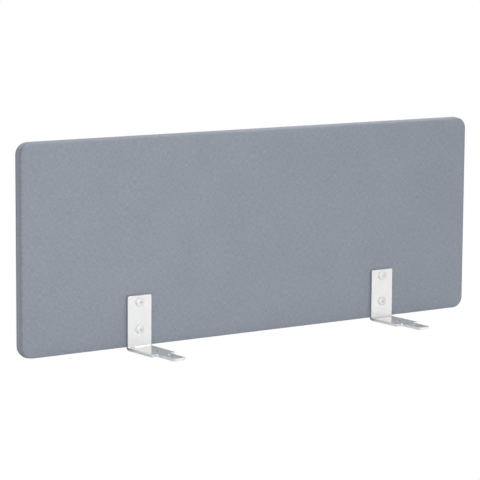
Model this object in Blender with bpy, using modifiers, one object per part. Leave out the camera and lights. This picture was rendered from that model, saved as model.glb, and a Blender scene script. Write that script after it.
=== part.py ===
"""Desk privacy panel: a fabric-covered board on two L-shaped steel brackets.

Frame: X runs along the panel, +Z is up, and the feet point to -Y. The origin is the middle of
the object's footprint, on the plane that the undersides of the two feet rest on.
Upright pieces are drawn face-on, as (x, z) outlines, and given their thickness along Y.
"""

import math

import bmesh
import bpy
from mathutils import Matrix, Vector

# ---- Driving dimensions, in metres ----

PANEL_LENGTH = 0.800
PANEL_HEIGHT = 0.300
PANEL_THICKNESS = 0.018
CORNER_RADIUS = 0.017
EDGE_ROUNDING = 0.0025
SEAM_DEPTH = 0.0108          # from the front face back to the seam in the edge

FABRIC = 0.0008
PADDING = 0.0021
GAP = 0.0003                 # between pieces that touch

PLATE = 0.004
BRACKET_WIDTH = 0.040
BRACKET_INSET = (0.190, 0.167)   # bracket centres, from the left and from the right end
FLANGE_RISE = 0.074          # flange above the panel's lower edge
FLANGE_CORNER = 0.002
BEND_INSIDE = 0.0015
FOOT_REACH = 0.108           # foot tip, from the panel's front face
SHOULDER_REACH = 0.067       # where the foot narrows to its tongue
TONGUE_WIDTH = 0.020
TONGUE_CORNER = 0.004
SHOULDER_ROUND = 0.003
FOOT_HOLE_REACH = 0.045
FOOT_HOLE_RADIUS = 0.0045
SLOT_REACH = (0.078, 0.100)
SLOT_WIDTH = 0.0085
BROKEN_EDGE = 0.0003         # softened arrises of the plate

SCREW_RISE = (0.0645, 0.0250)    # upper and lower screw, above the panel's lower edge
SCREW_LENGTH = 0.016
SHANK_RADIUS = 0.0027
HEAD_RADIUS = 0.0064
HEAD_HEIGHT = 0.0036
RECESS_ARM = 0.0031
RECESS_HALF_WIDTH = 0.0006
RECESS_DEPTH = 0.0020
CLEARANCE_RADIUS = 0.0033    # screw hole through the plate
SKIN_HOLE_RADIUS = 0.0045    # screw hole through fabric and padding

INSERT_LENGTH = 0.0080
INSERT_RADIUS = 0.0048
INSERT_BORE = 0.0030
RIB_DEPTH = 0.0005
RIB_COUNT = 5
BOARD_HOLE_DEPTH = 0.0086

ARC_STEPS = 10               # per quarter turn of a corner
TURNED_STEPS = 32

# ---- Places worked out from them ----

OUTER_DEPTH = FOOT_REACH + PANEL_THICKNESS
FRONT_Y = OUTER_DEPTH / 2 - PANEL_THICKNESS
BACK_Y = OUTER_DEPTH / 2
PANEL_LOW_Z = PLATE
PANEL_TOP_Z = PANEL_LOW_Z + PANEL_HEIGHT

SKIN = FABRIC + GAP
BOARD_FRONT_Y = FRONT_Y + SKIN + PADDING + GAP
BOARD_BACK_Y = BACK_Y - SKIN - PADDING - GAP
FLANGE_BACK_Y = FRONT_Y - GAP
FLANGE_FRONT_Y = FLANGE_BACK_Y - PLATE
FLANGE_TOP_Z = PANEL_LOW_Z + FLANGE_RISE
FOOT_TIP_Y = FRONT_Y - FOOT_REACH

BRACKET_X = {
    "left": -PANEL_LENGTH / 2 + BRACKET_INSET[0],
    "right": PANEL_LENGTH / 2 - BRACKET_INSET[1],
}
SCREW_Z = {
    "upper": PANEL_LOW_Z + SCREW_RISE[0],
    "lower": PANEL_LOW_Z + SCREW_RISE[1],
}
SCREW_CENTRES = [(x, z) for x in BRACKET_X.values() for z in SCREW_Z.values()]

# Drawn (x, y) becomes world (x, z), and drawn depth faces the front (-Y).
FACE_ON = Matrix.Rotation(math.radians(90), 4, "X")
# Drawn (x, y) becomes world (y, z), and drawn depth runs along X.
SIDE_ON = Matrix(((0, 0, 1, 0), (1, 0, 0, 0), (0, 1, 0, 0), (0, 0, 0, 1)))


# ---- Scene, collections and materials ----

def clear_scene():
    for old in list(bpy.data.objects):
        bpy.data.objects.remove(old, do_unlink=True)


def new_collection(name):
    collection = bpy.data.collections.new(name)
    bpy.context.scene.collection.children.link(collection)
    return collection


def material(name, colour, roughness, metallic=0.0):
    made = bpy.data.materials.new(name)
    made.use_nodes = True
    shader = made.node_tree.nodes["Principled BSDF"]
    shader.inputs["Base Color"].default_value = (*colour, 1.0)
    shader.inputs["Roughness"].default_value = roughness
    shader.inputs["Metallic"].default_value = metallic
    return made


def add_object(name, mesh, finish=None, place=None):
    """Puts a mesh in the model's collection, or with no finish in the cutters' one."""
    made = bpy.data.objects.new(name, mesh)
    made.matrix_world = place or Matrix.Identity(4)
    if finish:
        mesh.materials.append(finish)
        model.objects.link(made)
    else:
        cutters.objects.link(made)
        made.hide_render = True
        made.display_type = "WIRE"
    return made


# ---- Outlines ----

def rounded(corners):
    """Points of a closed outline from (x, y, radius) corners, given anticlockwise."""
    points = []
    for index, (x, y, radius) in enumerate(corners):
        here = Vector((x, y))
        if radius == 0:
            points.append(here)
            continue
        before = (Vector(corners[index - 1][:2]) - here).normalized()
        after = (Vector(corners[(index + 1) % len(corners)][:2]) - here).normalized()
        half_angle = before.angle(after) / 2
        centre = here + (before + after).normalized() * radius / math.sin(half_angle)
        start = here + before * radius / math.tan(half_angle) - centre
        turn = math.pi - 2 * half_angle
        if before.cross(after) > 0:
            turn = -turn
        for step in range(ARC_STEPS + 1):
            arm = start.copy()
            arm.rotate(Matrix.Rotation(turn * step / ARC_STEPS, 2))
            points.append(centre + arm)
    return points


def rectangle(low_x, high_x, low_y, high_y, radius):
    return rounded([
        (low_x, low_y, radius), (high_x, low_y, radius),
        (high_x, high_y, radius), (low_x, high_y, radius),
    ])


def panel_outline(inset):
    """The panel's outline, moved in by an even amount all round."""
    half = PANEL_LENGTH / 2 - inset
    return rectangle(-half, half, PANEL_LOW_Z + inset, PANEL_TOP_Z - inset, CORNER_RADIUS - inset)


# ---- Solids ----

def prism(outline, low, high):
    """A mesh of the outline in XY with its thickness from low to high along Z."""
    curve = bpy.data.curves.new("outline", "CURVE")
    curve.dimensions = "2D"
    curve.fill_mode = "BOTH"
    curve.extrude = (high - low) / 2
    spline = curve.splines.new("POLY")
    spline.points.add(len(outline) - 1)
    for point, (x, y) in zip(spline.points, outline):
        point.co = (x, y, 0, 1)
    spline.use_cyclic_u = True
    guide = bpy.data.objects.new("outline", curve)
    bpy.context.scene.collection.objects.link(guide)
    bpy.context.view_layer.update()
    mesh = bpy.data.meshes.new_from_object(guide.evaluated_get(bpy.context.evaluated_depsgraph_get()))
    bpy.data.objects.remove(guide, do_unlink=True)

    shape = bmesh.new()
    shape.from_mesh(mesh)
    bmesh.ops.remove_doubles(shape, verts=shape.verts, dist=1e-6)
    bmesh.ops.dissolve_limit(shape, angle_limit=math.radians(1), verts=shape.verts, edges=shape.edges)
    bmesh.ops.recalc_face_normals(shape, faces=shape.faces)
    bmesh.ops.translate(shape, verts=shape.verts, vec=(0, 0, (low + high) / 2))
    shape.to_mesh(mesh)
    shape.free()
    return mesh


def round_front_rim(mesh, radius, open_back=False):
    """Rounds the rim of a prism's high side, and for a shell takes its low side away."""
    shape = bmesh.new()
    shape.from_mesh(mesh)
    front = max(vert.co.z for vert in shape.verts)
    back = min(vert.co.z for vert in shape.verts)
    if open_back:
        behind = [face for face in shape.faces if all(abs(v.co.z - back) < 1e-6 for v in face.verts)]
        bmesh.ops.delete(shape, geom=behind, context="FACES_ONLY")
    rim = [edge for edge in shape.edges
           if all(abs(v.co.z - front) < 1e-6 for v in edge.verts) and edge.calc_face_angle() > 1]
    bmesh.ops.bevel(shape, geom=rim, offset=radius, segments=5, profile=0.5, affect="EDGES")
    shape.to_mesh(mesh)
    shape.free()


def smooth(made, angle=35):
    made.data.shade_smooth()
    made.data.set_sharp_from_angle(angle=math.radians(angle))


def boolean(target, cutter, operation="DIFFERENCE"):
    step = target.modifiers.new(cutter.name, "BOOLEAN")
    step.operation = operation
    step.solver = "EXACT"
    step.object = cutter


def drill_panel(target, radius, front_y, back_y):
    """Drills the four screw places of a piece of the panel, along Y."""
    shape = bmesh.new()
    for x, z in SCREW_CENTRES:
        place = Matrix.Translation((x, (front_y + back_y) / 2, z)) @ FACE_ON
        bmesh.ops.create_cone(shape, cap_ends=True, segments=TURNED_STEPS, radius1=radius,
                              radius2=radius, depth=back_y - front_y, matrix=place)
    mesh = bpy.data.meshes.new(target.name + "_drill")
    shape.to_mesh(mesh)
    shape.free()
    boolean(target, add_object(mesh.name, mesh))


def turned(name, profile, finish, closed):
    """A body of revolution about Z, from (radius, z) points that run down its outer side."""
    mesh = bpy.data.meshes.new(name)
    links = [(i, i + 1) for i in range(len(profile) - 1)]
    if closed:
        links.append((len(profile) - 1, 0))
    mesh.from_pydata([(radius, 0, z) for radius, z in profile], links, [])
    made = add_object(name, mesh, finish)
    spin = made.modifiers.new("turn", "SCREW")
    spin.axis = "Z"
    spin.steps = spin.render_steps = TURNED_STEPS
    spin.use_merge_vertices = True
    spin.merge_threshold = 1e-6
    spin.use_smooth_shade = True
    return made


# ---- The panel, from the middle outwards ----

def core_board():
    board = add_object("core_board", prism(panel_outline(SKIN), -BOARD_BACK_Y, -BOARD_FRONT_Y),
                       wood, FACE_ON)
    drill_panel(board, INSERT_RADIUS + GAP, BOARD_FRONT_Y - GAP, BOARD_FRONT_Y + BOARD_HOLE_DEPTH)


def padding(name, outer_y, inner_y):
    """A soft layer on one face of the board, rounded where the fabric turns the edge."""
    mesh = prism(panel_outline(SKIN), 0, abs(inner_y - outer_y))
    round_front_rim(mesh, EDGE_ROUNDING - SKIN)
    turn = FACE_ON if outer_y < inner_y else Matrix.Rotation(math.pi, 4, "Z") @ FACE_ON
    return add_object(name, mesh, foam, Matrix.Translation((0, inner_y, 0)) @ turn)


def fabric_half(name, outer_y, seam_y):
    """A tray of fabric: one face of the panel and its share of the edge, up to the seam."""
    mesh = prism(panel_outline(0), 0, abs(seam_y - outer_y))
    round_front_rim(mesh, EDGE_ROUNDING, open_back=True)
    turn = FACE_ON if outer_y < seam_y else Matrix.Rotation(math.pi, 4, "Z") @ FACE_ON
    made = add_object(name, mesh, fabric, Matrix.Translation((0, seam_y, 0)) @ turn)
    wall = made.modifiers.new("cloth", "SOLIDIFY")
    wall.thickness = FABRIC
    wall.offset = -1
    wall.use_even_offset = True
    smooth(made)
    return made


def panel():
    core_board()
    front_padding = padding("front_padding", FRONT_Y + SKIN, FRONT_Y + SKIN + PADDING)
    drill_panel(front_padding, SKIN_HOLE_RADIUS, FRONT_Y, BOARD_FRONT_Y)
    padding("back_padding", BACK_Y - SKIN, BACK_Y - SKIN - PADDING)

    seam_y = FRONT_Y + SEAM_DEPTH
    front_fabric = fabric_half("front_fabric", FRONT_Y, seam_y - GAP / 2)
    drill_panel(front_fabric, SKIN_HOLE_RADIUS, FRONT_Y - GAP, FRONT_Y + SKIN)
    fabric_half("back_fabric", BACK_Y, seam_y + GAP / 2)


# ---- Brackets ----

def plate_profile():
    """The bracket from the side: flange up, bend at the bottom, foot forward."""
    return rounded([
        (FLANGE_BACK_Y, FLANGE_TOP_Z, 0), (FLANGE_FRONT_Y, FLANGE_TOP_Z, 0),
        (FLANGE_FRONT_Y, PLATE, BEND_INSIDE), (FOOT_TIP_Y, PLATE, 0),
        (FOOT_TIP_Y, 0, 0), (FLANGE_BACK_Y, 0, BEND_INSIDE + PLATE),
    ])


def foot_plan(x):
    """The bracket from above: a wide foot whose shoulders narrow to a tongue."""
    wide = BRACKET_WIDTH / 2
    narrow = TONGUE_WIDTH / 2
    shoulder_y = FRONT_Y - SHOULDER_REACH
    behind_y = FRONT_Y + PLATE
    return rounded([
        (x - wide, behind_y, 0), (x - wide, shoulder_y, SHOULDER_ROUND),
        (x - narrow, shoulder_y, SHOULDER_ROUND), (x - narrow, FOOT_TIP_Y, TONGUE_CORNER),
        (x + narrow, FOOT_TIP_Y, TONGUE_CORNER), (x + narrow, shoulder_y, SHOULDER_ROUND),
        (x + wide, shoulder_y, SHOULDER_ROUND), (x + wide, behind_y, 0),
    ])


def flange_face(x):
    """The bracket from the front, with its two upper corners rounded."""
    wide = BRACKET_WIDTH / 2 + PLATE
    edge = BRACKET_WIDTH / 2
    return rounded([
        (x - wide, -PLATE, 0), (x + wide, -PLATE, 0), (x + wide, PLATE, 0),
        (x + edge, PLATE, 0), (x + edge, FLANGE_TOP_Z, FLANGE_CORNER),
        (x - edge, FLANGE_TOP_Z, FLANGE_CORNER), (x - edge, PLATE, 0), (x - wide, PLATE, 0),
    ])


def bracket(side):
    x = BRACKET_X[side]
    half = BRACKET_WIDTH / 2
    name = side + "_bracket"
    made = add_object(name, prism(plate_profile(), x - half, x + half), steel, SIDE_ON)

    plan = add_object(name + "_plan", prism(foot_plan(x), -PLATE, FLANGE_TOP_Z + PLATE))
    boolean(made, plan, "INTERSECT")
    face = add_object(name + "_face", prism(flange_face(x), -BACK_Y, BACK_Y), place=FACE_ON)
    boolean(made, face, "INTERSECT")

    for level, z in SCREW_Z.items():
        bpy.ops.mesh.primitive_cylinder_add(vertices=TURNED_STEPS, radius=CLEARANCE_RADIUS,
                                            depth=4 * PLATE, location=(x, FLANGE_FRONT_Y, z),
                                            rotation=(math.radians(90), 0, 0))
        boolean(made, adopt_cutter(f"{name}_{level}_hole"))
    bpy.ops.mesh.primitive_cylinder_add(vertices=TURNED_STEPS, radius=FOOT_HOLE_RADIUS,
                                        depth=4 * PLATE, location=(x, FRONT_Y - FOOT_HOLE_REACH, 0))
    boolean(made, adopt_cutter(name + "_foot_hole"))

    half_slot = SLOT_WIDTH / 2
    slot = rectangle(x - half_slot, x + half_slot, FRONT_Y - SLOT_REACH[1], FRONT_Y - SLOT_REACH[0],
                     half_slot * 0.999)
    boolean(made, add_object(name + "_slot", prism(slot, -PLATE, 2 * PLATE)))

    soft = made.modifiers.new("broken_edges", "BEVEL")
    soft.width = BROKEN_EDGE
    soft.segments = 2
    soft.limit_method = "ANGLE"
    soft.angle_limit = math.radians(40)
    smooth(made)


def adopt_cutter(name):
    """Moves the primitive that was just added to the cutters' collection."""
    made = bpy.context.object
    made.name = name
    for collection in list(made.users_collection):
        collection.objects.unlink(made)
    cutters.objects.link(made)
    made.hide_render = True
    made.display_type = "WIRE"
    return made


# ---- Screws and threaded inserts ----

def screw_profile():
    """A pan-head machine screw, head up, with the underside of its head at z = 0."""
    wall = 0.3 * HEAD_HEIGHT
    dome = HEAD_HEIGHT - wall
    arc = [math.radians(90) * step / 10 for step in range(11)]
    chamfer = 0.3 * SHANK_RADIUS
    head = [(HEAD_RADIUS * math.sin(angle), wall + dome * abs(math.cos(angle)) ** 0.5) for angle in arc]
    return head + [
        (HEAD_RADIUS, 0), (SHANK_RADIUS, 0), (SHANK_RADIUS, chamfer - SCREW_LENGTH),
        (SHANK_RADIUS - chamfer, -SCREW_LENGTH), (0, -SCREW_LENGTH),
    ]


def cross_outline():
    """The plus-shaped mouth of the screws' drive recess."""
    arm = [(RECESS_ARM, -RECESS_HALF_WIDTH), (RECESS_ARM, RECESS_HALF_WIDTH),
           (RECESS_HALF_WIDTH, RECESS_HALF_WIDTH)]
    points = []
    for quarter in range(4):
        turn = Matrix.Rotation(math.radians(90) * quarter, 2)
        points += [turn @ Vector(point) for point in arm]
    return points


def insert_profile():
    """A threaded insert with saw-tooth ribs, its mouth at z = 0, as a closed ring section."""
    pitch = INSERT_LENGTH / RIB_COUNT
    outside = []
    for rib in range(RIB_COUNT):
        outside.append((INSERT_RADIUS, -rib * pitch))
        outside.append((INSERT_RADIUS - RIB_DEPTH, -(rib + 0.9) * pitch))
    return outside + [
        (INSERT_RADIUS - RIB_DEPTH, -INSERT_LENGTH), (INSERT_BORE, -INSERT_LENGTH), (INSERT_BORE, 0),
    ]


def fastener_pair(side, level):
    """A screw through the flange and the threaded insert that it bites in the board."""
    x, z = BRACKET_X[side], SCREW_Z[level]
    screw = turned(f"{side}_{level}_screw", screw_profile(), screw_steel, closed=False)
    screw.matrix_world = Matrix.Translation((x, FLANGE_FRONT_Y - GAP, z)) @ FACE_ON
    recess = add_object(screw.name + "_recess",
                        prism(cross_outline(), HEAD_HEIGHT - RECESS_DEPTH, 2 * HEAD_HEIGHT))
    recess.matrix_world = screw.matrix_world
    boolean(screw, recess)

    insert = turned(f"{side}_{level}_insert", insert_profile(), brass, closed=True)
    insert.matrix_world = Matrix.Translation((x, BOARD_FRONT_Y, z)) @ FACE_ON


clear_scene()
model = new_collection("desk_privacy_panel")
cutters = new_collection("cutters")

fabric = material("grey_blue_fabric", (0.285, 0.320, 0.371), 0.95)
foam = material("padding_foam", (0.55, 0.54, 0.50), 1.0)
wood = material("core_board", (0.42, 0.30, 0.19), 0.8)
steel = material("satin_steel", (0.80, 0.80, 0.80), 0.3, 1.0)
screw_steel = material("screw_steel", (0.75, 0.75, 0.75), 0.3, 1.0)
brass = material("insert_brass", (0.72, 0.55, 0.27), 0.35, 1.0)

panel()
for bracket_side in BRACKET_X:
    bracket(bracket_side)
    for screw_level in SCREW_Z:
        fastener_pair(bracket_side, screw_level)
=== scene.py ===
"""Looks of the desk privacy panel: woven fabric covers with an edge seam, and lacquered brackets.

Lengths are in metres. X runs along the panel, the feet point to -Y, and +Z is up.
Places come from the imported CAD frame; the sizes below are the details that its boxes don't tell.
"""

import math

import bmesh
import bpy
from mathutils import Matrix, Vector, noise


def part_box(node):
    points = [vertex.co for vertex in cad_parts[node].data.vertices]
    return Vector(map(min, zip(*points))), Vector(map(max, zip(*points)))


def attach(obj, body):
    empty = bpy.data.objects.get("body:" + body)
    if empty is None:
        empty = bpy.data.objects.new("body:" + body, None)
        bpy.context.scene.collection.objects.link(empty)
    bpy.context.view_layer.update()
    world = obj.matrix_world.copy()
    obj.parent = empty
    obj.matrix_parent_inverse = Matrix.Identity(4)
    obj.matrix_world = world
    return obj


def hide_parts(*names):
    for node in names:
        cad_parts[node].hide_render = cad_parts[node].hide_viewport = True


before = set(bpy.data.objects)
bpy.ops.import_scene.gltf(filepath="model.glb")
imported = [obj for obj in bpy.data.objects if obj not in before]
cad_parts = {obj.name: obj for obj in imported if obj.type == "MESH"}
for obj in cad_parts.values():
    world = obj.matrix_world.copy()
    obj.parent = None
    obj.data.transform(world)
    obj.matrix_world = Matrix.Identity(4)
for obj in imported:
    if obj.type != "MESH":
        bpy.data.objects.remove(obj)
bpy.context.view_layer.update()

# ---- Sizes of the details ----

CORNER_RADIUS = 0.017
EDGE_ROUNDING = 0.0025
CLOTH = 0.0006
GRID_STEP = 0.006            # of the cover's mesh, on the flat
CORNER_CELLS = 6             # across a rounded corner
ROUNDING_RINGS = 6
SEAM_GAP = 0.0003
SEAM_RIDGE = 0.0008          # how far the sewn edge stands proud
SEAM_RUN = 0.0021            # over which it rises
LIP_RADIUS = 0.0008
CROWN = 0.0008               # how far the padding lifts the cloth off the flat
CROWN_RUN = 0.020            # over which it rises from the edge
BROAD_WAVES = (9, 0.20)      # of the padding: how many per metre or so, and their share of its lift
FINE_WAVES = (38, 0.07)
PRESS_SHARE = 0.9            # of the lift, pressed flat by a flange
PRESS_RUN = 0.0011           # over which it rises beside a flange
PRESS_POWER = 1.5
PUCKER = 0.00012             # gathers of the edge round the corners
PUCKERS_PER_TURN = 36
# The mesh's lines beside a flange's edge, as distances off it. Those below zero are behind it.
PRESS_LINES = (-0.0030, -0.0012, -0.0003, 0.0002, 0.0007, 0.0013, 0.0021, 0.0032, 0.0045)

PLATE = 0.004
BEND_INSIDE = 0.0015
FLANGE_CORNER = 0.002
SHOULDER_REACH = 0.067       # from the panel's front face
SHOULDER_ROUND = 0.003
TONGUE_WIDTH = 0.020
TONGUE_CORNER = 0.004
FOOT_HOLE_REACH = 0.045
FOOT_HOLE_RADIUS = 0.0045
SLOT_REACH = (0.078, 0.100)
SLOT_WIDTH = 0.0085
CLEARANCE_RADIUS = 0.0033
BROKEN_EDGE = 0.00035        # at most: the bevel keeps within the plate's shortest edges

HEAD_RADIUS = 0.0064
HEAD_HEIGHT = 0.0036
HEAD_CHAMFER = 0.0002        # of the rim of its underside
SHANK_RADIUS = 0.0027
SCREW_LENGTH = 0.016
RECESS_ARM = 0.0031
RECESS_HALF_WIDTH = 0.0006
RECESS_DEPTH = 0.0022
RECESS_TAPER = 0.45          # its size at the bottom, as a share of its size at the top

ARC_STEPS = 16               # per rounded corner
TURNED_STEPS = 64            # per full turn
DOME_STEPS = 20
RIDGE_RINGS = 4
LIP_RINGS = 5
SHARP_ANGLE = 35             # degrees between faces, for an edge that is shaded sharp
NEVER_SHARP = 180
BEVEL_ANGLE = 40             # degrees between faces, for an edge that is broken

# ---- Places from the frame ----

panel_low, panel_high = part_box("front_fabric")
FRONT_Y = panel_low.y
BACK_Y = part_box("back_fabric")[1].y
SEAM_Y = (panel_high.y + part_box("back_fabric")[0].y) / 2
BRACKETS = ("left", "right")
LEVELS = ("upper", "lower")


# ---- Node helpers ----

class Field:
    """A number that varies over a surface, as a node's output. Arithmetic on it adds Math nodes."""

    def __init__(self, tree, socket):
        self.tree = tree
        self.socket = socket

    def math(self, operation, *others):
        node = self.tree.nodes.new("ShaderNodeMath")
        node.operation = operation
        for slot, value in enumerate((self, *others)):
            if isinstance(value, Field):
                self.tree.links.new(value.socket, node.inputs[slot])
            else:
                node.inputs[slot].default_value = value
        return Field(self.tree, node.outputs[0])

    def __add__(self, other):
        return self.math("ADD", other)

    def __sub__(self, other):
        return self.math("SUBTRACT", other)

    def __mul__(self, other):
        return self.math("MULTIPLY", other)

    def sine(self):
        return self.math("SINE")

    def absolute(self):
        return self.math("ABSOLUTE")

    def higher(self, other):
        return self.math("MAXIMUM", other)

    def lower(self, other):
        return self.math("MINIMUM", other)


def new_material(name, roughness, metallic=0.0):
    made = bpy.data.materials.new(name)
    made.use_nodes = True
    shader = made.node_tree.nodes["Principled BSDF"]
    shader.inputs["Roughness"].default_value = roughness
    shader.inputs["Metallic"].default_value = metallic
    return made, made.node_tree, shader


def place_fields(tree):
    """The surface's X, Y and Z in the row frame, in metres."""
    coordinates = tree.nodes.new("ShaderNodeTexCoord")
    split = tree.nodes.new("ShaderNodeSeparateXYZ")
    tree.links.new(coordinates.outputs["Object"], split.inputs[0])
    return [Field(tree, split.outputs[axis]) for axis in range(3)]


def sideways(tree):
    """How much the surface faces along X, Y and Z, either way: 1 where it faces straight along."""
    geometry = tree.nodes.new("ShaderNodeNewGeometry")
    split = tree.nodes.new("ShaderNodeSeparateXYZ")
    tree.links.new(geometry.outputs["Normal"], split.inputs[0])
    return [Field(tree, split.outputs[axis]).absolute() for axis in range(3)]


def combine(tree, x, y, z):
    join = tree.nodes.new("ShaderNodeCombineXYZ")
    for slot, value in enumerate((x, y, z)):
        if isinstance(value, Field):
            tree.links.new(value.socket, join.inputs[slot])
        else:
            join.inputs[slot].default_value = value
    return join.outputs[0]


def noise_field(tree, vector, scale, detail, roughness=0.5):
    node = tree.nodes.new("ShaderNodeTexNoise")
    node.inputs["Scale"].default_value = scale
    node.inputs["Detail"].default_value = detail
    node.inputs["Roughness"].default_value = roughness
    tree.links.new(vector, node.inputs["Vector"])
    return Field(tree, node.outputs["Fac"])


def colour_ramp(tree, field, stops):
    """A colour that follows a field; stops are (position, (r, g, b))."""
    node = tree.nodes.new("ShaderNodeValToRGB")
    ramp = node.color_ramp
    ramp.elements[0].position, ramp.elements[0].color = stops[0][0], (*stops[0][1], 1)
    ramp.elements[1].position, ramp.elements[1].color = stops[-1][0], (*stops[-1][1], 1)
    for position, colour in stops[1:-1]:
        ramp.elements.new(position).color = (*colour, 1)
    tree.links.new(field.socket, node.inputs[0])
    return node.outputs["Color"]


def bump(tree, shader, field, height, strength):
    node = tree.nodes.new("ShaderNodeBump")
    node.inputs["Strength"].default_value = strength
    node.inputs["Distance"].default_value = height
    tree.links.new(field.socket, node.inputs["Height"])
    tree.links.new(node.outputs[0], shader.inputs["Normal"])


def show_to_camera(tree, usual, seen, output):
    """Gives the camera one shader, and all other rays another."""
    path = tree.nodes.new("ShaderNodeLightPath")
    choose = tree.nodes.new("ShaderNodeMixShader")
    tree.links.new(path.outputs["Is Camera Ray"], choose.inputs[0])
    tree.links.new(usual, choose.inputs[1])
    tree.links.new(seen, choose.inputs[2])
    tree.links.new(choose.outputs[0], output.inputs["Surface"])


def shades(colour, *factors):
    return [tuple(channel * factor for channel in colour) for factor in factors]


# ---- Materials ----

FABRIC_COLOUR = (0.283, 0.313, 0.361)
THREAD_PITCH = 0.00080
THREAD_WOBBLE = 1.2          # radians of the weave's waves
SLUB_SCALES = (1100, 160)    # of the slubs' noise, across the yarn and along it
# The painted highlight along the seam fades out over this run.
SEAM_HIGHLIGHT_RUN = 0.0018            # over which the cloth fades to its own colour from the seam


def fabric_material():
    """A plain weave of grey-blue yarn, a little uneven in thickness and colour."""
    made, tree, shader = new_material("grey_blue_weave", 0.9)
    shader.inputs["Sheen Weight"].default_value = 0.12
    shader.inputs["Sheen Roughness"].default_value = 0.5
    shader.inputs["Specular IOR Level"].default_value = 0.15
    x, y, z = place_fields(tree)

    # The weave turns over the edge: the threads are counted on there along the depth.
    facing = sideways(tree)
    depth = (y - FRONT_Y).lower(y * -1 + BACK_Y)
    along = x + depth * facing[0]
    up = z + depth * facing[2]

    wobble = noise_field(tree, combine(tree, along, up, 0), 260, 1)
    warp = (along * (math.pi / THREAD_PITCH) + wobble * THREAD_WOBBLE).sine()
    weft = (up * (math.pi / THREAD_PITCH) + wobble * THREAD_WOBBLE).sine()
    crossing = warp * weft * 0.5 + 0.5
    over = warp.absolute() * crossing
    under = weft.absolute() * (crossing * -1 + 1)
    weave = over.higher(under)

    # Slubs: yarn that is thicker or lighter for a few millimetres, along either set of threads.
    fine, coarse = SLUB_SCALES
    warp_slub = noise_field(tree, combine(tree, along * fine, up * coarse, 0), 1, 1)
    weft_slub = noise_field(tree, combine(tree, along * coarse, up * fine, 7), 1, 1)
    melange = warp_slub * 0.5 + weft_slub * 0.5
    broad = noise_field(tree, combine(tree, along, up, 3), 14, 3)
    # Painted highlight: the cloth is painted a little paler close to the seam, where its sewn ridge
    # catches the light.
    to_seam = (y - SEAM_Y).absolute() * (1 / SEAM_HIGHLIGHT_RUN)
    pale = (to_seam * -1 + 1).higher(0)
    tone = weave * 0.35 + melange * 0.9 + broad * 0.12 + pale * 0.35 - 0.25

    dark, middle, light = shades(FABRIC_COLOUR, 0.72, 1.0, 1.25)
    colour = colour_ramp(tree, tone, [(0.2, dark), (0.5, middle), (0.8, light)])
    tree.links.new(colour, shader.inputs["Base Color"])
    bump(tree, shader, weave + melange * 0.5, 0.00012, 0.6)
    return made


def lacquer_material():
    """Satin silver lacquer on steel, with the faint orange peel of a sprayed coat.

    The faces that face along X, the plate's long shear-cut edges, get a darker colour: painted
    shade for the dimmer light on the plate's sides.
    """
    made, tree, shader = new_material("silver_lacquer", 0.2, 0.75)
    place = combine(tree, *place_fields(tree))
    peel = noise_field(tree, place, 900, 2)
    cloud = noise_field(tree, place, 60, 3)
    # Painted shade: how much the surface faces along X, which darkens the colour there.
    side_shade_mask = sideways(tree)[0]
    tone = cloud * 0.4 + 0.6 - side_shade_mask * 0.6
    # edge is the painted shade's colour, for the faces that face along X.
    edge, shade, light = (0.60, 0.60, 0.60), (0.84, 0.84, 0.84), (0.89, 0.89, 0.885)
    colour = colour_ramp(tree, tone, [(0.2, edge), (0.7, shade), (0.9, light)])
    tree.links.new(colour, shader.inputs["Base Color"])
    rough = cloud * 0.10 + 0.14
    tree.links.new(rough.socket, shader.inputs["Roughness"])
    bump(tree, shader, peel, 0.00002, 0.35)
    return made


def zinc_material():
    """Bright zinc plating on the screws."""
    made, tree, shader = new_material("bright_zinc", 0.5, 0.7)
    place = combine(tree, *place_fields(tree))
    spangle = noise_field(tree, place, 1800, 2)
    light, shade = (0.88,)*3, (0.8,)*3
    colour = colour_ramp(tree, spangle, [(0.3, shade), (0.7, light)])
    tree.links.new(colour, shader.inputs["Base Color"])
    bump(tree, shader, spangle, 0.00002, 0.3)
    return made


def foam_material():
    made, tree, shader = new_material("padding_foam", 0.95)
    place = combine(tree, *place_fields(tree))
    cells = tree.nodes.new("ShaderNodeTexVoronoi")
    cells.inputs["Scale"].default_value = 1400
    tree.links.new(place, cells.inputs["Vector"])
    pores = Field(tree, cells.outputs["Distance"])
    colour = colour_ramp(tree, pores, [(0.0, (0.34, 0.33, 0.30)), (0.6, (0.62, 0.61, 0.56))])
    tree.links.new(colour, shader.inputs["Base Color"])
    bump(tree, shader, pores, 0.0003, 0.8)
    return made


def board_material():
    made, tree, shader = new_material("fibreboard", 0.85)
    x, y, z = place_fields(tree)
    fibres = noise_field(tree, combine(tree, x * 300, y * 2500, z * 900), 1, 4, 0.6)
    colour = colour_ramp(tree, fibres, [(0.3, (0.30, 0.20, 0.12)), (0.7, (0.47, 0.34, 0.22))])
    tree.links.new(colour, shader.inputs["Base Color"])
    bump(tree, shader, fibres, 0.0001, 0.5)
    return made


def brass_material():
    made, tree, shader = new_material("machined_brass", 0.3, 1.0)
    x, y, z = place_fields(tree)
    turning = noise_field(tree, combine(tree, x * 40, y * 9000, z * 40), 1, 1)
    colour = colour_ramp(tree, turning, [(0.3, (0.66, 0.48, 0.22)), (0.7, (0.82, 0.64, 0.33))])
    tree.links.new(colour, shader.inputs["Base Color"])
    bump(tree, shader, turning, 0.00003, 0.5)
    return made


def floor_material():
    """A pale studio floor: plain white to the camera, and matt white to all other light."""
    made, tree, shader = new_material("pale_floor", 0.9)
    shader.inputs["Base Color"].default_value = (0.86, 0.86, 0.86, 1)
    shader.inputs["Specular IOR Level"].default_value = 0
    glow = tree.nodes.new("ShaderNodeEmission")
    glow.inputs["Color"].default_value = (1, 1, 1, 1)
    show_to_camera(tree, shader.outputs[0], glow.outputs[0], tree.nodes["Material Output"])
    return made


# ---- Mesh helpers ----

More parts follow.
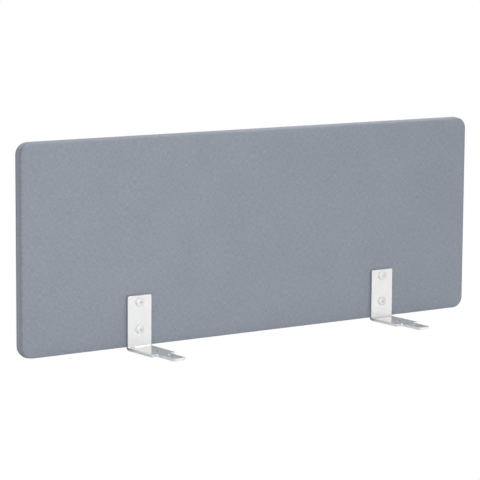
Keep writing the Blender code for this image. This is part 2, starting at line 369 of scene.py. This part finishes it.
def to_object(name, shape):
    """Turns a bmesh into an object of the scene."""
    bmesh.ops.recalc_face_normals(shape, faces=shape.faces)
    mesh = bpy.data.meshes.new(name)
    shape.to_mesh(mesh)
    shape.free()
    made = bpy.data.objects.new(name, mesh)
    bpy.context.scene.collection.objects.link(made)
    return made


def rounded(corners):
    """Points of a closed outline from (x, y, radius) corners, given anticlockwise."""
    points = []
    for index, (x, y, radius) in enumerate(corners):
        here = Vector((x, y))
        if radius == 0:
            points.append(here)
            continue
        before = (Vector(corners[index - 1][:2]) - here).normalized()
        after = (Vector(corners[(index + 1) % len(corners)][:2]) - here).normalized()
        half_angle = before.angle(after) / 2
        centre = here + (before + after).normalized() * radius / math.sin(half_angle)
        start = here + before * radius / math.tan(half_angle) - centre
        turn = math.pi - 2 * half_angle
        if before.cross(after) > 0:
            turn = -turn
        for step in range(ARC_STEPS + 1):
            arm = start.copy()
            arm.rotate(Matrix.Rotation(turn * step / ARC_STEPS, 2))
            points.append(centre + arm)
    return points


def prism(outline, low, high, place=Matrix.Identity(4)):
    """An object of the outline in XY with its thickness from low to high along Z."""
    shape = bmesh.new()
    rim = [shape.verts.new((x, y, low)) for x, y in outline]
    base = shape.faces.new(rim)
    grown = bmesh.ops.extrude_face_region(shape, geom=[base])["geom"]
    bmesh.ops.translate(shape, vec=(0, 0, high - low),
                        verts=[v for v in grown if isinstance(v, bmesh.types.BMVert)])
    made = to_object("prism", shape)
    made.matrix_world = place
    return made


def cylinder(radius, low, high, place):
    circle = [Vector((radius, 0)) for _ in range(TURNED_STEPS)]
    for step, point in enumerate(circle):
        point.rotate(Matrix.Rotation(2 * math.pi * step / TURNED_STEPS, 2))
    return prism(circle, low, high, place)


def carve(target, cutters, operation="DIFFERENCE"):
    """Applies booleans to a mesh, one cutter at a time, and removes the cutters."""
    for cutter in cutters:
        step = target.modifiers.new("carve", "BOOLEAN")
        step.operation = operation
        step.solver = "EXACT"
        step.object = cutter
    apply_modifiers(target)
    for cutter in cutters:
        bpy.data.objects.remove(cutter, do_unlink=True)


def apply_modifiers(target):
    """Gives an object the mesh that its modifiers make, and takes the modifiers off."""
    bpy.context.view_layer.update()
    solid = target.evaluated_get(bpy.context.evaluated_depsgraph_get())
    mesh = bpy.data.meshes.new_from_object(solid)
    target.modifiers.clear()
    target.data = in_fixed_order(mesh)


def in_fixed_order(mesh):
    """The same mesh, with its points and faces in an order that no run of a boolean changes."""
    order = sorted(range(len(mesh.vertices)), key=lambda index: tuple(mesh.vertices[index].co))
    rank = {index: place for place, index in enumerate(order)}
    faces = []
    for face in mesh.polygons:
        loop = [rank[index] for index in face.vertices]
        first = loop.index(min(loop))
        faces.append(loop[first:] + loop[:first])
    fixed = bpy.data.meshes.new(mesh.name)
    fixed.from_pydata([mesh.vertices[index].co for index in order], [], sorted(faces))
    return fixed


def dress(made, finish, sharp_angle=SHARP_ANGLE):
    """Smooth shading up to an angle between faces, and the material."""
    made.data.materials.clear()
    made.data.materials.append(finish)
    made.data.shade_smooth()
    made.data.set_sharp_from_angle(angle=math.radians(sharp_angle))


def stand_in(made, name, node):
    """The piece takes a CAD node's place, on the one body that there is."""
    made.name = made.data.name = name
    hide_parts(node)
    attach(made, "root")


# Places that stand a prism up. Its outline's XY becomes XZ, seen from the front, or YZ, seen from
# the side.
FACE_ON = Matrix(((1, 0, 0, 0), (0, 0, -1, 0), (0, 1, 0, 0), (0, 0, 0, 1)))
SIDE_ON = Matrix(((0, 0, 1, 0), (1, 0, 0, 0), (0, 1, 0, 0), (0, 0, 0, 1)))


# ---- Fabric covers ----

def grid_lines(low, high, corner, edges):
    """Places of the grid's lines across one side, close in the corners and beside the flanges.

    An edge is a place and the way that leads off the flange there, 1 or -1.
    """
    inner_low, inner_high = low + corner, high - corner
    count = round((inner_high - inner_low) / GRID_STEP)
    lines = [low + corner * step / CORNER_CELLS for step in range(CORNER_CELLS)]
    for step in range(count + 1):
        line = inner_low + (inner_high - inner_low) * step / count
        if step in (0, count) or all(abs(line - place) > GRID_STEP for place, _ in edges):
            lines.append(line)
    lines += [place + way * offset for place, way in edges for offset in PRESS_LINES]
    lines += [inner_high + corner * (step + 1) / CORNER_CELLS for step in range(CORNER_CELLS)]
    return sorted(lines)


def round_off(x, z, low, high, corner):
    """Moves a point of a rectangle to its place in the rounded one, and gives its way outwards."""
    centre_x = min(max(x, low[0] + corner), high[0] - corner)
    centre_z = min(max(z, low[1] + corner), high[1] - corner)
    u, v = (x - centre_x) / corner, (z - centre_z) / corner
    flat_u = u * math.sqrt(1 - v * v / 2)
    flat_v = v * math.sqrt(1 - u * u / 2)
    outward = Vector((flat_u, flat_v))
    if outward.length > 0:
        outward.normalize()
    return centre_x + flat_u * corner, centre_z + flat_v * corner, outward


def lift(x, z, flanges):
    """How far the padding lifts the cloth: a little uneven, and nothing at the edge or a flange."""
    from_edge = min(x - panel_low.x, panel_high.x - x, z - panel_low.z, panel_high.z - z)
    share = min(from_edge / CROWN_RUN, 1)
    height = CROWN * share * (2 - share)
    for low, high in flanges:
        off = math.hypot(max(low.x - x, 0, x - high.x), max(z - high.z, 0))
        height *= 1 - PRESS_SHARE * math.exp(-(off / PRESS_RUN) ** PRESS_POWER)
    broad = noise.noise(Vector((x * BROAD_WAVES[0], 0, z * BROAD_WAVES[0])))
    fine = noise.noise(Vector((x * FINE_WAVES[0], 5, z * FINE_WAVES[0])))
    return height * (1 + BROAD_WAVES[1] * broad + FINE_WAVES[1] * fine)


def edge_profile(depth):
    """(outward, depth) steps from the face's rim to the seam's lip, for a cover of that depth."""
    steps = []
    for ring in range(1, ROUNDING_RINGS + 1):
        angle = math.radians(90) * ring / ROUNDING_RINGS
        steps.append((EDGE_ROUNDING * math.sin(angle), EDGE_ROUNDING * (1 - math.cos(angle))))
    ridge_start = depth - SEAM_RUN
    steps.append((EDGE_ROUNDING, (EDGE_ROUNDING + ridge_start) / 2))
    for ring in range(RIDGE_RINGS + 1):
        share = ring / RIDGE_RINGS
        rise = share * share * (3 - 2 * share)
        steps.append((EDGE_ROUNDING + SEAM_RIDGE * rise,
                      ridge_start + (SEAM_RUN - LIP_RADIUS) * share))
    for ring in range(1, LIP_RINGS + 1):
        angle = math.radians(90) * ring / LIP_RINGS
        steps.append((EDGE_ROUNDING + SEAM_RIDGE - LIP_RADIUS * (1 - math.cos(angle)),
                      depth - LIP_RADIUS + LIP_RADIUS * math.sin(angle)))
    return steps


def pucker(outward, share):
    """Small gathers round the corners, which fade towards the face."""
    if min(abs(outward.x), abs(outward.y)) < 1e-6:
        return 0
    angle = math.atan2(outward.y, outward.x)
    swell = abs(math.sin(2 * angle))
    return PUCKER * share * swell * math.sin(angle * PUCKERS_PER_TURN)


def cover(name, node, face_y, flanges):
    """One half of the fabric: a stretched face whose edge rolls over to the seam."""
    inward = 1 if face_y < SEAM_Y else -1
    rim_depth = abs(SEAM_Y - face_y)
    low = (panel_low.x + EDGE_ROUNDING, panel_low.z + EDGE_ROUNDING)
    high = (panel_high.x - EDGE_ROUNDING, panel_high.z - EDGE_ROUNDING)
    corner = CORNER_RADIUS - EDGE_ROUNDING
    sides = [(box[0].x, -1) for box in flanges] + [(box[1].x, 1) for box in flanges]
    columns = grid_lines(low[0], high[0], corner, sides)
    rows = grid_lines(low[1], high[1], corner, [(box[1].z, 1) for box in flanges[:1]])

    shape = bmesh.new()
    ways_out = {}
    grid = []
    for x in columns:
        line = []
        for z in rows:
            px, pz, outward = round_off(x, z, low, high, corner)
            vert = shape.verts.new((px, face_y, pz))
            line.append(vert)
            if x in (columns[0], columns[-1]) or z in (rows[0], rows[-1]):
                ways_out[vert] = outward
            else:
                vert.co.y -= lift(px, pz, flanges) * inward
        grid.append(line)
    for left, right in zip(grid, grid[1:]):
        for quad in zip(left, right, right[1:], left[1:]):
            shape.faces.new(quad)

    rim = ([line[0] for line in grid] + grid[-1][1:] + [line[-1] for line in reversed(grid[:-1])]
           + grid[0][-2:0:-1])
    ring = rim
    profile = edge_profile(rim_depth - SEAM_GAP / 2)
    for step, (out, depth) in enumerate(profile):
        share = step / len(profile)
        following = []
        for vert in rim:
            way = ways_out[vert]
            reach = out + pucker(way, share)
            following.append(shape.verts.new((vert.co.x + way.x * reach,
                                              face_y + depth * inward, vert.co.z + way.y * reach)))
        for here in range(len(rim)):
            there = (here + 1) % len(rim)
            shape.faces.new((ring[here], ring[there], following[there], following[here]))
        ring = following

    made = to_object(name, shape)
    dress(made, fabric, NEVER_SHARP)
    face_out(made, inward)
    cloth = made.modifiers.new("cloth", "SOLIDIFY")
    cloth.thickness = CLOTH
    cloth.offset = -1
    stand_in(made, name, node)


def face_out(made, inward):
    """Turns the faces of an open cover so that its flat face looks away from the panel."""
    middle = max(made.data.polygons, key=lambda face: face.area)
    if middle.normal.y * inward > 0:
        made.data.flip_normals()


# ---- Brackets ----

def bracket(side):
    """The bent plate of the CAD bracket, with finer bends and broken edges."""
    low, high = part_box(side + "_bracket")
    x = (low.x + high.x) / 2
    half, narrow = (high.x - low.x) / 2, TONGUE_WIDTH / 2
    back, front, tip = high.y, high.y - PLATE, low.y
    shoulder = FRONT_Y - SHOULDER_REACH
    spare = 2 * PLATE                    # how far an outline reaches past what it cuts

    profile = rounded([
        (back, high.z + spare, 0), (front, high.z + spare, 0), (front, PLATE, BEND_INSIDE),
        (tip - spare, PLATE, 0), (tip - spare, 0, 0), (back, 0, BEND_INSIDE + PLATE),
    ])
    plan = rounded([
        (x - half, back + spare, 0), (x - half, shoulder, SHOULDER_ROUND),
        (x - narrow, shoulder, SHOULDER_ROUND), (x - narrow, tip, TONGUE_CORNER),
        (x + narrow, tip, TONGUE_CORNER), (x + narrow, shoulder, SHOULDER_ROUND),
        (x + half, shoulder, SHOULDER_ROUND), (x + half, back + spare, 0),
    ])
    face = rounded([
        (x - half - spare, -spare, 0), (x + half + spare, -spare, 0),
        (x + half + spare, spare, 0), (x + half, spare, 0), (x + half, high.z, FLANGE_CORNER),
        (x - half, high.z, FLANGE_CORNER), (x - half, spare, 0), (x - half - spare, spare, 0),
    ])
    made = prism(profile, x - half - spare, x + half + spare, SIDE_ON)
    carve(made, [prism(plan, -spare, high.z + spare),
                 prism(face, -back - spare, -tip + spare, FACE_ON)], "INTERSECT")

    slot_end = SLOT_WIDTH / 2 * 0.999    # so that an end's two arcs don't meet in one point
    slot_low, slot_high = FRONT_Y - SLOT_REACH[1], FRONT_Y - SLOT_REACH[0]
    slot_left, slot_right = x - SLOT_WIDTH / 2, x + SLOT_WIDTH / 2
    slot = rounded([(slot_left, slot_low, slot_end), (slot_right, slot_low, slot_end),
                    (slot_right, slot_high, slot_end), (slot_left, slot_high, slot_end)])
    foot_hole = Matrix.Translation((x, FRONT_Y - FOOT_HOLE_REACH, 0))
    holes = [prism(slot, -spare, spare), cylinder(FOOT_HOLE_RADIUS, -spare, spare, foot_hole)]
    for level in LEVELS:
        screw_x, _, screw_z = screw_centre(side, level)
        place = Matrix.Translation((screw_x, front, screw_z)) @ FACE_ON
        holes.append(cylinder(CLEARANCE_RADIUS, -spare, spare, place))
    carve(made, holes)

    soft = made.modifiers.new("broken_edges", "BEVEL")
    soft.width = BROKEN_EDGE
    soft.segments = 3
    soft.limit_method = "ANGLE"
    soft.angle_limit = math.radians(BEVEL_ANGLE)
    apply_modifiers(made)
    dress(made, lacquer)
    flat = made.modifiers.new("flat_faces", "WEIGHTED_NORMAL")
    flat.keep_sharp = True
    stand_in(made, side + "_bracket_plate", side + "_bracket")


# ---- Screws ----

def screw_centre(side, level):
    """Where a screw's head meets the flange: its axis, and the underside of the head."""
    low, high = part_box(f"{side}_{level}_screw")
    return (low.x + high.x) / 2, low.y + HEAD_HEIGHT, (low.z + high.z) / 2


def screw(side, level):
    """A pan head with a tapered cross recess, on its shank."""
    wall = 0.3 * HEAD_HEIGHT
    dome = HEAD_HEIGHT - wall
    chamfer = 0.3 * SHANK_RADIUS
    arc = [math.radians(90) * step / DOME_STEPS for step in range(DOME_STEPS + 1)]
    outline = [(HEAD_RADIUS * math.sin(angle), wall + dome * abs(math.cos(angle)) ** 0.5)
               for angle in arc]
    outline += [(HEAD_RADIUS, HEAD_CHAMFER), (HEAD_RADIUS - HEAD_CHAMFER, 0), (SHANK_RADIUS, 0),
                (SHANK_RADIUS, chamfer - SCREW_LENGTH), (SHANK_RADIUS - chamfer, -SCREW_LENGTH),
                (0, -SCREW_LENGTH)]
    shape = bmesh.new()
    verts = [shape.verts.new((radius, 0, height)) for radius, height in outline]
    edges = [shape.edges.new(pair) for pair in zip(verts, verts[1:])]
    bmesh.ops.spin(shape, geom=verts + edges, axis=(0, 0, 1), cent=(0, 0, 0), steps=TURNED_STEPS,
                   angle=2 * math.pi)
    bmesh.ops.remove_doubles(shape, verts=shape.verts, dist=1e-6)
    made = to_object("screw", shape)

    arm = [(RECESS_ARM, -RECESS_HALF_WIDTH), (RECESS_ARM, RECESS_HALF_WIDTH),
           (RECESS_HALF_WIDTH, RECESS_HALF_WIDTH)]
    cross = []
    for quarter in range(4):
        turn = Matrix.Rotation(math.radians(90) * quarter, 2)
        cross += [turn @ Vector(point) for point in arm]
    floor = HEAD_HEIGHT - RECESS_DEPTH
    recess = prism(cross, floor, 2 * HEAD_HEIGHT)
    for vert in recess.data.vertices:
        if vert.co.z < floor + 1e-6:
            vert.co.x *= RECESS_TAPER
            vert.co.y *= RECESS_TAPER
    carve(made, [recess])
    dress(made, zinc)
    made.matrix_world = Matrix.Translation(screw_centre(side, level)) @ FACE_ON
    stand_in(made, f"{side}_{level}_pan_screw", f"{side}_{level}_screw")


# ---- Stage ----

FLOOR_SIZE = 60
FLOOR_DROP = 0.0002          # below the feet, so that the two surfaces don't fall together

# The light tent's brightness: a middle value, and its rise along X, Y and Z.
TENT = (0.51, -0.16, -0.15, -0.06)

# Each soft box has a name, its place, the point it faces, its width and its power in watts.
SOFT_BOXES = (
    ("key", (-0.66, -1.22, 0.5), (-0.15, 0, 0.12), 0.9, 6.0),
    ("card", (1.4, -2.1, 0.95), (0.0, 0, 0.2), 1.8, 3.2),
    ("overhead", (0.45, 0.0, 1.8), (0, 0, 0.2), 0.9, 20.5),
)

# The camera looks at a point on the panel's face, from the left and a little above.
CAMERA_AZIMUTH = math.radians(-35.52)
CAMERA_ELEVATION = math.radians(8.085)
CAMERA_ROLL = math.radians(0.40)
CAMERA_DISTANCE = 3.361
CAMERA_LENS = 172.1          # mm, for a film 36 mm wide
FILM_WIDTH = 36
CAMERA_TARGET = (panel_low.x + 0.3677, FRONT_Y, panel_low.z + 0.1394)


def studio():
    bpy.ops.mesh.primitive_plane_add(size=FLOOR_SIZE, location=(0, 0, -FLOOR_DROP))
    floor = bpy.context.object
    floor.name = "floor"
    floor.data.materials.append(floor_material())

    world = bpy.data.worlds.new("studio")
    bpy.context.scene.world = world
    world.use_nodes = True
    tree = world.node_tree
    direction = tree.nodes.new("ShaderNodeTexCoord")
    split = tree.nodes.new("ShaderNodeSeparateXYZ")
    tree.links.new(direction.outputs["Generated"], split.inputs[0])
    x, y, z = [Field(tree, split.outputs[axis]) for axis in range(3)]
    surround = tree.nodes["Background"]
    strength = x * TENT[1] + y * TENT[2] + z * TENT[3] + TENT[0]
    tree.links.new(strength.socket, surround.inputs["Strength"])
    surround.inputs["Color"].default_value = (1, 1, 1, 1)
    seen = tree.nodes.new("ShaderNodeBackground")
    show_to_camera(tree, surround.outputs[0], seen.outputs[0], tree.nodes["World Output"])
    seen.inputs["Color"].default_value = (1, 1, 1, 1)
    bpy.context.scene.view_settings.view_transform = "Standard"

    for name, place, aim, width, power in SOFT_BOXES:
        lamp = bpy.data.lights.new(name, "AREA")
        lamp.shape = "DISK"
        lamp.size = width
        lamp.energy = power
        made = bpy.data.objects.new(name, lamp)
        made.location = place
        made.rotation_euler = (Vector(aim) - Vector(place)).to_track_quat("-Z", "Y").to_euler()
        bpy.context.scene.collection.objects.link(made)


def camera():
    lens = bpy.data.cameras.new("camera")
    lens.lens = CAMERA_LENS
    lens.sensor_width = FILM_WIDTH
    made = bpy.data.objects.new("camera", lens)
    bpy.context.scene.collection.objects.link(made)
    level = math.cos(CAMERA_ELEVATION)
    back = Vector((math.sin(CAMERA_AZIMUTH) * level, -math.cos(CAMERA_AZIMUTH) * level,
                   math.sin(CAMERA_ELEVATION)))
    made.location = Vector(CAMERA_TARGET) + back * CAMERA_DISTANCE
    aim = (-back).to_track_quat("-Z", "Y").to_matrix().to_4x4()
    made.rotation_euler = (aim @ Matrix.Rotation(CAMERA_ROLL, 4, "Z")).to_euler()
    bpy.context.scene.camera = made


camera()
studio()
fabric = fabric_material()
lacquer = lacquer_material()
zinc = zinc_material()
inside = {"padding": foam_material(), "board": board_material(), "insert": brass_material()}

cover("front_cover", "front_fabric", FRONT_Y, [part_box(side + "_bracket") for side in BRACKETS])
cover("back_cover", "back_fabric", BACK_Y, [])
for bracket_side in BRACKETS:
    bracket(bracket_side)
    for screw_level in LEVELS:
        screw(bracket_side, screw_level)
for node_name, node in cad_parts.items():
    for kind, finish in inside.items():
        if node_name.endswith(kind):
            node.data.materials.clear()
            node.data.materials.append(finish)
